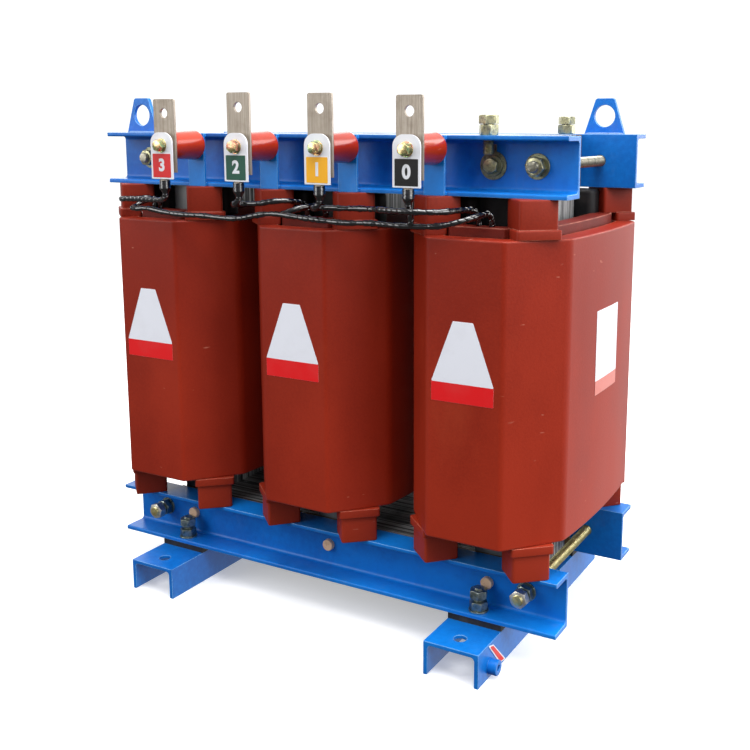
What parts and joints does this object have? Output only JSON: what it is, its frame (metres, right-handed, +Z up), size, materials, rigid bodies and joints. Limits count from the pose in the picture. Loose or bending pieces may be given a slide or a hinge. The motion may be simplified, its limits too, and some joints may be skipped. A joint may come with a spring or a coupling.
{
  "type": "cast-resin dry-type power transformer",
  "caption": "Dry-type cast-resin transformer: red resin coils on a laminated core, blue channel clamps and base, bushings with terminal bars, lifting lugs.",
  "frame": {"origin": "on the floor, under the middle of the object's overall box", "axes": "+X along the three coils, to the right seen from the terminals; +Y away from the terminal side; +Z up"},
  "size_m": [1.014, 0.626, 1.01],
  "materials": {
    "frame_paint": "blue gloss enamel, worn pale along the edges",
    "pad_rubber": "black moulded rubber, dusty",
    "core_steel": "stacked steel sheets, dark varnish on the cut edges",
    "board": "brown pressed insulating board",
    "coil_resin": "brick-red cast resin, smooth, slightly scuffed",
    "inner_resin": "brick-red cast resin, duller",
    "block_resin": "brick-red moulded resin blocks",
    "bushing_resin": "glossy red moulded resin",
    "bar_metal": "tinned copper bar with fine upright grain",
    "tag_plate": "white plate with a coloured square",
    "bolt_zinc": "yellow-passivated zinc, iridescent",
    "nut_zinc": "dull greenish zinc plating",
    "lead_tape": "black insulating tape in overlapping turns, shiny"
  },
  "bodies": {
    "root": {"base_channel_left": "frame_paint", "base_channel_right": "frame_paint", "lower_clamp_front": "frame_paint", "lower_clamp_back": "frame_paint", "upper_clamp_front": "frame_paint", "upper_clamp_back": "frame_paint", "lifting_lug_front_left": "frame_paint", "lifting_lug_back_right": "frame_paint", "bushing_strips": "frame_paint", "earth_boss": "frame_paint", "base_pads": "pad_rubber", "core_yoke_bottom": "core_steel", "core_yoke_top": "core_steel", "core_limb_left": "core_steel", "core_limb_middle": "core_steel", "core_limb_right": "core_steel", "yoke_boards": "board", "hv_coil_left": "coil_resin", "lv_coil_left": "inner_resin", "top_blocks_left": "block_resin", "bottom_blocks_left": "block_resin", "hv_coil_middle": "coil_resin", "lv_coil_middle": "inner_resin", "top_blocks_middle": "block_resin", "bottom_blocks_middle": "block_resin", "hv_coil_right": "coil_resin", "lv_coil_right": "inner_resin", "top_blocks_right": "block_resin", "bottom_blocks_right": "block_resin", "bushing_1": "bushing_resin", "terminal_bar_1": "bar_metal", "bushing_2": "bushing_resin", "terminal_bar_2": "bar_metal", "bushing_3": "bushing_resin", "terminal_bar_3": "bar_metal", "bushing_4": "bushing_resin", "terminal_bar_4": "bar_metal", "cable_lugs": "bar_metal", "terminal_tags": "tag_plate", "terminal_bolts": "bolt_zinc", "upper_tie_rods": "bolt_zinc", "core_studs": "bolt_zinc", "earth_bolt": "bolt_zinc", "pressing_bolts": "bolt_zinc", "lower_tie_rods": "nut_zinc", "base_bolts": "nut_zinc", "earth_lug": "nut_zinc", "lead_1": "lead_tape", "lead_2": "lead_tape", "lead_3": "lead_tape", "neutral_link": "lead_tape"}
  },
  "joints": []
}
